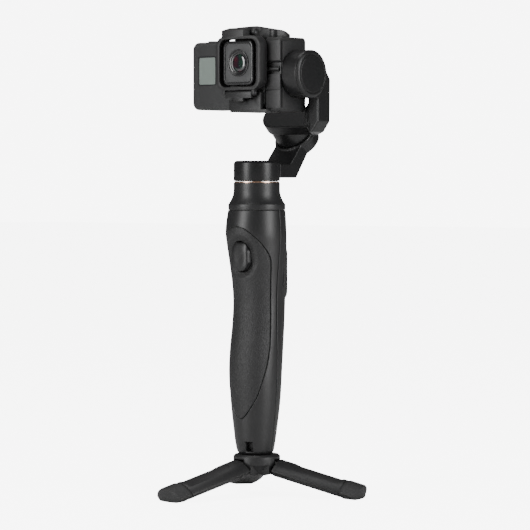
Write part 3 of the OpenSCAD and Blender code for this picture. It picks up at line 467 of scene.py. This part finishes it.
# distance outside the trigger opening, negative inside
def triggerDistance(x, z):
    half = trigHeight / 2 - trigWidth / 2
    dz = np.maximum(np.abs(z - trigCentre) - half, 0)
    return np.sqrt(x ** 2 + dz ** 2) - trigWidth / 2


# how deep the trigger dish and pocket go
def gripDepth(x, z, front):
    depth = np.zeros(np.broadcast(x, z).shape)
    if front:
        d = triggerDistance(x, z)
        depth = depth + grip["dishDepth"] * (1 - smoothstep(0.6, grip["dishReach"], d))
        depth = depth + grip["pocketDepth"] * (1 - smoothstep(0.25, 0.75, d))
    return depth


# half angle of the soft inlay at a height, zero outside it
def inlayAngle(z):
    table = np.array(grip["inlayEdge"], float)
    low, top = gripLow + table[0, 0], gripLow + table[-1, 0]
    angle = np.interp(z - gripLow, table[:, 0], table[:, 1])
    for _ in range(3):
        near = [np.interp(z - gripLow + d, table[:, 0], table[:, 1]) for d in (-1.6, -0.8, 0.8, 1.6)]
        blend = smoothstep(low + 6, low + 14, z) * (1 - smoothstep(top - 9, top - 4, z))
        angle = angle * (1 - blend) + blend * (angle + sum(near)) / 5
    return np.where((z > low) & (z < top), np.radians(angle), 0.0)


def gripSurface(z, angle, depth):
    r = radiusAt(z) - depth
    return np.stack([r * np.sin(angle), shiftAt(z) - r * np.cos(angle), z + np.zeros_like(angle)], -1)


def gridFaces(rows, columns, offset=0, flip=False):
    k = np.arange((rows - 1) * columns).reshape(rows - 1, columns)[:, :-1].ravel() + offset
    quads = np.stack([k, k + 1, k + columns + 1, k + columns], -1)
    return (quads[:, ::-1] if flip else quads).tolist()


def rowHeights(low, high, step):
    count = max(2, int(round((high - low) / step)) + 1)
    return np.linspace(low, high, count)


strapSlot = {"turn": math.radians(20), "halfWidth": 2.6, "low": 2.0, "high": 8.0, "depth": 5.0, "edge": 0.22}


# slot for a wrist strap
def strapDepth(angle, z):
    slot = strapSlot
    across = np.abs((angle - slot["turn"]) * radiusAt(z)) - slot["halfWidth"]
    up = np.maximum(gripLow + slot["low"] - z, z - gripLow - slot["high"])
    return slot["depth"] * (1 - smoothstep(-slot["edge"], slot["edge"], np.maximum(across, up)))


def frontShell():
    z = rowHeights(gripLow, gripHigh - 0.12, grip["rowStep"])
    zz = z[:, None]
    seam = np.arccos(np.clip(shiftAt(z) / radiusAt(z), -1, 1)) - grip["seamGap"] / radiusAt(z)
    inner = inlayAngle(z) + np.where(inlayAngle(z) > 0, grip["seamGap"] / radiusAt(z), 0)
    verts, faces = [], []
    columns = 76
    for side in (1, -1):
        t = np.linspace(0, 1, columns)[None, :]
        under = np.minimum(inner, grip["flange"] / radiusAt(z)) * (inner > 0)
        angle = (inner - under)[:, None] + (seam - inner + under)[:, None] * t
        fromInner = (angle - inner[:, None]) * radiusAt(zz)
        fromSeam = (seam[:, None] - angle) * radiusAt(zz)
        hasInlay = (inlayAngle(z) > 0)[:, None]
        depth = np.where(hasInlay, grip["rollDepth"] * (1 - smoothstep(0, 0.4, fromInner)), 0)
        depth = np.where(fromInner < 0, grip["flangeDepth"], depth)
        depth = depth + grip["rollDepth"] * (1 - smoothstep(0, 0.35, fromSeam))
        x = radiusAt(zz) * np.sin(angle)
        depth = depth + gripDepth(x, zz, True)
        if side == 1:
            depth = depth + strapDepth(angle, zz)
        depth = depth + 0.3 * smoothstep(gripHigh - 0.6, gripHigh - 0.12, zz + 0 * angle)
        points = gripSurface(zz, side * angle, depth).reshape(-1, 3)
        faces += gridFaces(len(z), columns, len(verts), side == -1)
        verts += (points * mm).tolist()
    obj = makeObject("handleFront", verts, faces, "handlePlastic")
    closeBase(obj)
    return place(obj, "handle_front_shell")


def rearShell():
    z = rowHeights(gripLow, gripHigh - 0.12, 0.7)
    zz = z[:, None]
    seam = np.arccos(np.clip(shiftAt(z) / radiusAt(z), -1, 1)) + grip["seamGap"] / radiusAt(z)
    columns = 150
    t = np.linspace(-1, 1, columns)[None, :]
    # the columns crowd towards the seams, where the edge rolls in
    t = np.sin(t * math.pi / 2) * 0.35 + t * 0.65
    reach = (grip["flange"] / radiusAt(z))[:, None]
    angle = math.pi + ((math.pi - seam)[:, None] + reach) * t
    fromSeam = np.minimum(angle - seam[:, None], 2 * math.pi - seam[:, None] - angle) * radiusAt(zz)
    depth = grip["rollDepth"] * (1 - smoothstep(0, 0.5, fromSeam))
    depth = np.where(fromSeam < 0, grip["flangeDepth"], depth)
    depth = depth + 0.3 * smoothstep(gripHigh - 0.6, gripHigh - 0.12, zz + 0 * angle)
    points = gripSurface(zz, angle, depth).reshape(-1, 3)
    obj = makeObject("handleRear", (points * mm).tolist(), gridFaces(len(z), columns), "handlePlastic")
    return place(obj, "handle_rear_shell")


# flat ring under the handle, round the threaded bore
def closeBase(obj):
    r = (grip["stations"][0][1] * grip["radius"] + 0.1) * mm
    shift = grip["stations"][0][2] * mm
    shape = bmesh.new()
    shape.from_mesh(obj.data)
    outer, inner = [], []
    sides, boreR = 96, 6.6 * mm
    for i in range(sides):
        a = 2 * math.pi * i / sides
        outer.append(shape.verts.new((r * math.cos(a), shift + r * math.sin(a), gripLow * mm)))
        inner.append(shape.verts.new((boreR * math.cos(a), boreR * math.sin(a), gripLow * mm)))
    for i in range(sides):
        j = (i + 1) % sides
        shape.faces.new((outer[j], outer[i], inner[i], inner[j]))
    shape.to_mesh(obj.data)
    shape.free()


def gripInlay():
    low, top = gripLow + grip["inlayEdge"][0][0], gripLow + grip["inlayEdge"][-1][0]
    z = rowHeights(low + 0.02, top - 0.02, grip["rowStep"])
    zz = z[:, None]
    columns = 110
    half = inlayAngle(z)[:, None]
    t = np.linspace(-1, 1, columns)[None, :]
    t = np.sin(t * math.pi / 2) * 0.3 + t * 0.7
    angle = half * t
    fromEdge = (half - np.abs(angle)) * radiusAt(zz)
    vertical = np.minimum(zz - low, top - zz)
    edge = np.minimum(fromEdge, vertical + 0 * angle)
    depth = grip["rollDepth"] * (1 - smoothstep(0, 0.45, edge)) - 0.12 * smoothstep(0.3, 1.4, edge)
    depth = depth + gripDepth(radiusAt(zz) * np.sin(angle), zz, True)
    points = gripSurface(zz, angle, depth).reshape(-1, 3)
    obj = makeObject("gripInlay", (points * mm).tolist(), gridFaces(len(z), columns), "gripRubber")
    return place(obj, "grip_inlay")


def triggerPiece():
    front = -trigLow.y / mm
    w, h = trigWidth, trigHeight
    sides, steps = lever["sides"], lever["steps"]
    verts, faces, rings = [], [], []
    for k in range(steps + 1):
        share = k / steps
        inset = share ** 0.9
        ring = []
        for i in range(sides):
            a = 2 * math.pi * i / sides
            cx, cz = math.cos(a), math.sin(a)
            px = (w / 2) * math.copysign(abs(cx) ** 0.85, cx) * (1 - inset)
            pz = (h / 2) * math.copysign(abs(cz) ** 0.72, cz) * (1 - inset)
            ex, ez = px / (w / 2), pz / (h / 2)
            rise = (1 - min(1, (abs(ex) ** 3.4 + abs(ez) ** 4.2))) ** 0.5
            scoop = lever["scoop"] * math.exp(-((pz + 1.5) / 5.0) ** 2) * math.exp(-(px / 5.0) ** 2)
            lean = lever["lean"] * (pz - 3)
            ring.append((px, -(front - 1.5 + lever["crown"] * rise - scoop - max(0, lean)), trigCentre + pz))
        rings.append(ring)
    back = [(p[0], -(front - 6.8), p[2]) for p in rings[0]]
    rings.insert(0, back)
    for ring in rings:
        verts += [tuple(c * mm for c in p) for p in ring]
    for k in range(len(rings) - 1):
        for i in range(sides):
            j = (i + 1) % sides
            faces.append((k * sides + i, k * sides + j, (k + 1) * sides + j, (k + 1) * sides + i))
    faces.append(tuple(range(sides)))
    obj = fixNormals(makeObject("triggerLever", verts, faces, "satinPlastic"))
    return place(sharpenByAngle(obj, 45), "trigger")


frontShell()
rearShell()
gripInlay()
triggerPiece()
print("handle made")


# neck and pan motor
neck = {"rim": 4.0, "flareSteps": 12, "belowBell": 3.9, "lipHeight": 0.55, "lipWidth": 0.45, "spigot": 2,
        "bellWall": 1.4, "bellGap": 0.34, "bellCorner": 1.5, "shaftR": 3.0}


def neckPieces():
    low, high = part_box("neck_collar")
    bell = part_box("pan_bell")
    neckR = bell[1].x / mm
    base, top = low.z / mm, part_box("accent_ring")[0].z / mm
    wide = high.x / mm
    rim, steps, lipWidth = neck["rim"], neck["flareSteps"], neck["lipWidth"]
    flareTop = top - neck["belowBell"]
    foot = base - neck["spigot"]
    profile = [(wide - 3, foot), (wide - 0.9, foot), (wide - 0.9, base), (wide - 0.1, base, 0.3),
               (wide, base + rim - 0.5, 0.3), (wide - 0.35, base + rim, 0.3)]
    for i in range(1, steps + 1):
        u = i / steps
        profile.append((neckR + (wide - 0.35 - neckR) * (1 - u) ** 2, base + rim + (flareTop - base - rim) * u))
    lip = top + neck["lipHeight"]
    profile += [(neckR, lip - 0.01, 0.25), (neckR - lipWidth, lip, 0.1), (neckR - lipWidth, top), (neckR - 3, top),
                (4.3, top)]
    collar = lathe("neckCollar", "handlePlastic", profile)
    place(collar, "neck_collar")
    z0, z1 = bell[0].z / mm, bell[1].z / mm
    wall, gap, corner, shaftR = neck["bellWall"], neck["bellGap"], neck["bellCorner"], neck["shaftR"]
    # an inner lip hangs behind the copper ring, so no light passes
    profile = [(neckR - wall, z1 - wall), (neckR - wall, z0 - gap), (neckR - 1.1, z0 - gap), (neckR - 1.1, z0),
               (neckR, z0, 0.3), (neckR, z1 - corner, 0.5),
               (neckR - corner, z1, 0.5), (shaftR + 0.2, z1, 0.2), (shaftR, z1 - 0.3), (0, z1 - 0.3)]
    place(lathe("panMotorBell", "anodisedBlack", profile), "pan_bell")


neckPieces()
print("neck made")


# arms and motors
melted("panArm", "anodisedBlack", "pan_arm", voxel=0.4, passes=6)


# a plate that fills the inner corner of the roll arm
web = {"x": (39.6, 44.5), "y": (1.6, 11.4), "low": 232.0, "high": (240.5, 247.5)}


def elbowWeb(shape):
    corners = []
    for y in web["y"]:
        for x, z in ((web["x"][0], web["low"]), (web["x"][1], web["low"]), (web["x"][1], web["high"][1]),
                     (web["x"][0], web["high"][0])):
            corners.append(shape.verts.new((x * mm, y * mm, z * mm)))
    for face in ((0, 1, 2, 3), (7, 6, 5, 4), (4, 5, 1, 0), (5, 6, 2, 1), (6, 7, 3, 2), (7, 4, 0, 3)):
        shape.faces.new([corners[i] for i in face])


melted("rollArm", "anodisedBlack", "roll_arm", voxel=0.42, passes=6, extra=elbowWeb)


# inset of the groove's four corners from the rim, and its depth
endCap = {"groove": (2.6, 2.9, 3.3, 3.6), "grooveDepth": 0.35, "chamfer": 1.5, "chamferDepth": 0.15}


def tiltCap():
    low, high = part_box("tilt_cap")
    centre = (low + high) / 2
    r = (high.z - low.z) / 2 / mm
    thick = (high.x - low.x) / mm
    matrix = Matrix.Translation(Vector((low.x, centre.y, centre.z))) @ Matrix.Rotation(math.pi / 2, 4, "Y")
    a, b, c, d = endCap["groove"]
    floor = thick - endCap["grooveDepth"]
    profile = [(0, 0), (r - 0.1, 0, 0.2), (r, thick * 0.35, 0.4),
               (r - endCap["chamfer"], thick - endCap["chamferDepth"], 0.5), (r - a, thick, 0.2),
               (r - b, floor, 0.1), (r - c, floor, 0.1), (r - d, thick, 0.2), (0, thick)]
    place(lathe("tiltMotorCap", "anodisedBlack", profile, matrix), "tilt_cap")


tiltCap()
for node, name in (("roll_bell", "rollMotorBell"), ("tilt_bell", "tiltMotorBell")):
    beveled(name, "anodisedBlack", node, width=0.35, steps=2)
print("arms and motors made")


# camera and clamp
camera = {"cornerR": 5.0, "edge": 1.1, "bezel": 1.5, "bezelR": 1.4, "windowR": 1.0,
          "lensR": 4.6, "lensEdge": 1.3, "lensRim": 4.2, "lensRecess": 0.55}


# centre and size of a node seen from the front
def frontView(node):
    low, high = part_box(node)
    return ((low.x + high.x) / 2 / mm, (low.z + high.z) / 2 / mm), ((high.x - low.x) / mm, (high.z - low.z) / mm)


def cameraPieces():
    low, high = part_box("camera_body")
    mid, size = frontView("camera_body")
    y0, y1 = low.y / mm, high.y / mm
    place(slab("cameraBody", "cameraGrey", mid, size, camera["cornerR"], y0, y1, edge=camera["edge"]), "camera_body")
    sMid, (sw, sh) = frontView("camera_screen")
    bezel = slab("displayBezel", "lensBlack", sMid, (sw + camera["bezel"], sh + camera["bezel"]), camera["bezelR"],
                 y0 - 0.12, y0 + 0.6, edge=0.1, hole=(sw - 0.4, sh - 0.4), holeRadius=0.9, holeEdge=0.08)
    place(bezel, body="cradle", slot="lens_black")
    window = slab("displayWindow", "displayGrey", sMid, (sw, sh), camera["windowR"], y0 - 0.05, y0 + 0.7, edge=0.08)
    place(window, "camera_screen")
    gLow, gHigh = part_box("camera_glass")
    lMid, (lw, lh) = frontView("camera_lens")
    rim = camera["lensRim"]
    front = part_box("camera_lens")[0].y / mm + 0.6
    block = slab("lensBlock", "lensBlack", lMid, (lw, lh), camera["lensR"], front, y0 + 0.5, edge=camera["lensEdge"],
                 hole=(lw - rim, lh - rim), holeRadius=3.2, holeEdge=0.4)
    holeW = (gHigh.x - gLow.x) / mm + 2.4
    cover = slab("lensWindow", "windowGrey", lMid, (lw - 4.1, lh - 4.1), 3.1, front + camera["lensRecess"],
                 front + 2.5, edge=0.12, hole=(holeW, holeW), holeRadius=holeW / 2 - 0.001, holeEdge=0.1)
    glassR = (gHigh.x - gLow.x) / 2 / mm + 0.3
    face = (Matrix.Translation(Vector((lMid[0] * mm, (front + 0.6) * mm, lMid[1] * mm)))
            @ Matrix.Rotation(math.pi / 2, 4, "X"))
    barrel = lathe("lensBarrel", "lensBlack", [
        (glassR + 1.2, -1.5), (glassR + 1.2, 0.5, 0.2), (glassR + 0.7, 0.8, 0.2), (glassR + 0.1, 0.7, 0.2),
        (glassR - 0.1, -0.1, 0.1), (glassR - 0.9, -0.25, 0.1), (glassR - 1.1, -0.9, 0.1), (glassR - 1.9, -1.0, 0.1),
        (glassR - 2.1, -1.5, 0.1), (glassR - 2.8, -1.6)], face)
    place(joinInto(block, barrel), "camera_lens")
    place(cover, body="cradle", slot="lens_black")
    glass = lathe("lensGlass", "lensGlassPaintedReflection", [
        (glassR - 2.0, -1.5), (glassR - 2.1, -1.1), (glassR * 0.55, -0.6, 1.0), (glassR * 0.3, -0.4, 1.0),
        (0, -0.33)], face, sharp=60)
    place(glass, "camera_glass")
    bLow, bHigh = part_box("camera_button")
    r = (bHigh.x - bLow.x) / 2 / mm
    c = (bLow + bHigh) / 2
    up = Matrix.Translation(Vector((c.x, c.y, bLow.z)))
    tall = (bHigh.z - bLow.z) / mm
    button = lathe("shutterButton", "cameraGrey", [(0, 0), (r, 0, 0.1), (r, tall, 0.5), (r - 1.2, tall, 0.2),
                                                   (r - 1.5, tall - 0.2, 0.1), (0, tall - 0.2)], up)
    place(button, "camera_button")


cameraPieces()


beveled("clampRing", "mattePlastic", "clamp_ring", width=0.7, steps=3)
beveled("clampLatch", "mattePlastic", "latch", width=0.35, steps=2)
beveled("topBridge", "mattePlastic", "clamp_bridge", width=0.35, steps=2)
beveled("cradleFrame", "mattePlastic", "cradle", width=0.8, steps=3)
print("camera and clamp made")


# tripod
beveled("tripodHead", "mattePlastic", "tripod_head", width=0.5, steps=3, angle=30)
for key in "abc":
    beveled("tripodLeg_" + key, "mattePlastic", "leg_" + key, width=0.6, steps=3, angle=30)
    melted("tripodFoot_" + key, "footRubber", "foot_" + key, voxel=0.35, passes=8)
beveled("rearPanel", "satinPlastic", "control_panel", width=0.5, steps=3)
beveled("sideCover", "footRubber", "usb_cover", width=0.25, steps=2)
for node, name in (("mode_button", "modeButton"), ("record_button", "recordButton"),
                   ("joystick_cap", "joystickCap")):
    beveled(name, slotLooks[slotOf[node]], node, width=0.3, steps=3)
print("tripod and controls made")


# repeated details
# socket-head screws set on a circle
def ringTree(name):
    tree = bpy.data.node_groups.new(name, "GeometryNodeTree")
    for label, kind, value in (("Count", "NodeSocketInt", 4), ("Circle Radius", "NodeSocketFloat", 0.01),
                               ("Head Radius", "NodeSocketFloat", 0.0012), ("Head Height", "NodeSocketFloat", 0.0005),
                               ("Socket Radius", "NodeSocketFloat", 0.0006), ("Finish", "NodeSocketMaterial", None)):
        socket = tree.interface.new_socket(label, in_out="INPUT", socket_type=kind)
        if value is not None:
            socket.default_value = value
    tree.interface.new_socket("Geometry", in_out="OUTPUT", socket_type="NodeSocketGeometry")
    start, end = tree.nodes.new("NodeGroupInput"), tree.nodes.new("NodeGroupOutput")
    circle = tree.nodes.new("GeometryNodeMeshCircle")
    head = addNode(tree, "GeometryNodeMeshCylinder", Vertices=32)
    socket = addNode(tree, "GeometryNodeMeshCylinder", Vertices=6)
    lift = tree.nodes.new("GeometryNodeTransform")
    cut = tree.nodes.new("GeometryNodeMeshBoolean")
    spread = tree.nodes.new("GeometryNodeInstanceOnPoints")
    real = tree.nodes.new("GeometryNodeRealizeInstances")
    paint = tree.nodes.new("GeometryNodeSetMaterial")
    up = tree.nodes.new("ShaderNodeCombineXYZ")
    link = tree.links.new
    link(start.outputs["Count"], circle.inputs["Vertices"])
    link(start.outputs["Circle Radius"], circle.inputs["Radius"])
    link(start.outputs["Head Radius"], head.inputs["Radius"])
    link(start.outputs["Head Height"], head.inputs["Depth"])
    link(start.outputs["Socket Radius"], socket.inputs["Radius"])
    link(start.outputs["Head Height"], socket.inputs["Depth"])
    link(start.outputs["Head Height"], up.inputs["Z"])
    half = addNode(tree, "ShaderNodeVectorMath")
    half.operation = "SCALE"
    half.inputs["Scale"].default_value = 0.5
    link(up.outputs["Vector"], half.inputs[0])
    link(socket.outputs["Mesh"], lift.inputs["Geometry"])
    link(half.outputs["Vector"], lift.inputs["Translation"])
    link(head.outputs["Mesh"], cut.inputs["Mesh 1"])
    link(lift.outputs["Geometry"], cut.inputs["Mesh 2"])
    link(circle.outputs["Mesh"], spread.inputs["Points"])
    link(cut.outputs["Mesh"], spread.inputs["Instance"])
    link(spread.outputs["Instances"], real.inputs["Geometry"])
    link(real.outputs["Geometry"], paint.inputs["Geometry"])
    link(start.outputs["Finish"], paint.inputs["Material"])
    link(paint.outputs["Geometry"], end.inputs["Geometry"])
    return tree


def ringOfScrews(name, tree, matrix, body, slot, look, **sizes):
    obj = bpy.data.objects.new(name, bpy.data.meshes.new(name))
    bpy.context.scene.collection.objects.link(obj)
    maker = obj.modifiers.new("screws", "NODES")
    maker.node_group = tree
    keys = {item.name: item.identifier for item in tree.interface.items_tree if item.in_out == "INPUT"}
    for label, value in {**sizes, "Finish": looks[look]}.items():
        maker[keys[label.replace("_", " ")]] = value
    applyAll(obj)
    obj.data.transform(matrix)
    sharpenByAngle(obj, 30)
    return place(obj, body=body, slot=slot)


screwTree = ringTree("ringOfScrews")
rollJoint = next(j for j in frame["joints"] if j["name"] == "roll_turn")
rollAxis = Vector(rollJoint["axis"])
rollCentre = Vector(rollJoint["pos_m"])
cupBack = {"reach": 15.6, "screwCircle": 9.0, "lift": 0.1}
turnBack = (-rollAxis).to_track_quat("Z", "Y").to_matrix().to_4x4()
ringOfScrews("rollMotorScrews", screwTree,
             Matrix.Translation(rollCentre - rollAxis * (cupBack["reach"] + cupBack["lift"]) * mm) @ turnBack,
             "pan", "steel", "steelTurned", Count=4, Circle_Radius=cupBack["screwCircle"] * mm,
             Head_Radius=1.3 * mm, Head_Height=0.5 * mm, Socket_Radius=0.65 * mm)
print("screws made")


# stage, light and camera
def studio():
    light = {
        "backdrop": 7.5, "surround": 0.12,
        "floorGlow": 6.8,
        # name: place, size, power
        "lamps": {
            "softboxLeft": ((-0.42, -1.66, 0.55), (0.55, 1.7), 30.0),
            "softboxRight": ((1.70, 0.12, 0.50), (0.75, 1.7), 32.0),
            "topSoft": ((-0.2, -0.1, 1.7), (0.9, 0.9), 14.0),
        },
    }
    mesh = bpy.data.meshes.new("floor")
    size = 9.0
    mesh.from_pydata([(-size, -size, floorZ), (size, -size, floorZ), (size, size, floorZ), (-size, size, floorZ)],
                     [], [(0, 1, 2, 3)])
    floor = bpy.data.objects.new("floor", mesh)
    bpy.context.scene.collection.objects.link(floor)
    mat = finish("paleFloor", (0.86, 0.86, 0.86), 0.6, grain=40, bump=0.0, spread=0.01)
    tree = mat.node_tree
    seen = tree.nodes.new("ShaderNodeLightPath")
    glow = tree.nodes.new("ShaderNodeMath")
    glow.operation = "MULTIPLY"
    glow.inputs[1].default_value = light["floorGlow"]
    tree.links.new(seen.outputs["Is Camera Ray"], glow.inputs[0])
    shader = tree.nodes["Principled BSDF"]
    shader.inputs["Emission Color"].default_value = (1, 1, 1, 1)
    tree.links.new(glow.outputs["Value"], shader.inputs["Emission Strength"])
    glass = tree.nodes.new("ShaderNodeBsdfTransparent")
    side = tree.nodes.new("ShaderNodeNewGeometry")
    either = tree.nodes.new("ShaderNodeMixShader")
    output = next(n for n in tree.nodes if n.type == "OUTPUT_MATERIAL")
    tree.links.new(side.outputs["Backfacing"], either.inputs["Fac"])
    tree.links.new(shader.outputs["BSDF"], either.inputs[1])
    tree.links.new(glass.outputs["BSDF"], either.inputs[2])
    tree.links.new(either.outputs["Shader"], output.inputs["Surface"])
    mesh.materials.append(mat)
    world = bpy.data.worlds.new("studio")
    world.use_nodes = True
    tree = world.node_tree
    ground = tree.nodes["Background"]
    ground.inputs["Color"].default_value = (1, 1, 1, 1)
    seen = tree.nodes.new("ShaderNodeLightPath")
    level = addNode(tree, "ShaderNodeMapRange", To_Min=light["surround"], To_Max=light["backdrop"])
    tree.links.new(seen.outputs["Is Camera Ray"], level.inputs["Value"])
    tree.links.new(level.outputs["Result"], ground.inputs["Strength"])
    bpy.context.scene.world = world
    target = Vector((0, 0, 0.14))
    for name, (spot, size, power) in light["lamps"].items():
        lamp = bpy.data.lights.new(name, "AREA")
        lamp.shape = "RECTANGLE"
        lamp.size, lamp.size_y = size
        lamp.energy = power
        obj = bpy.data.objects.new(name, lamp)
        obj.location = spot
        obj.rotation_euler = (target - Vector(spot)).to_track_quat("-Z", "Y").to_euler()
        bpy.context.scene.collection.objects.link(obj)


def viewpoint():
    shot = {"lens": 190.2, "distance": 1.85, "turn": math.radians(40), "height": 0.1926,
            "target": Vector((0.00416, 0.00349, 0.1377))}
    lens = bpy.data.cameras.new("camera")
    lens.lens = shot["lens"]
    lens.clip_end = 50
    obj = bpy.data.objects.new("camera", lens)
    spot = Vector((shot["distance"] * math.sin(shot["turn"]), -shot["distance"] * math.cos(shot["turn"]),
                   shot["height"]))
    obj.location = spot
    obj.rotation_euler = (shot["target"] - spot).to_track_quat("-Z", "Y").to_euler()
    bpy.context.scene.collection.objects.link(obj)
    bpy.context.scene.camera = obj


studio()
viewpoint()
print("scene finished")
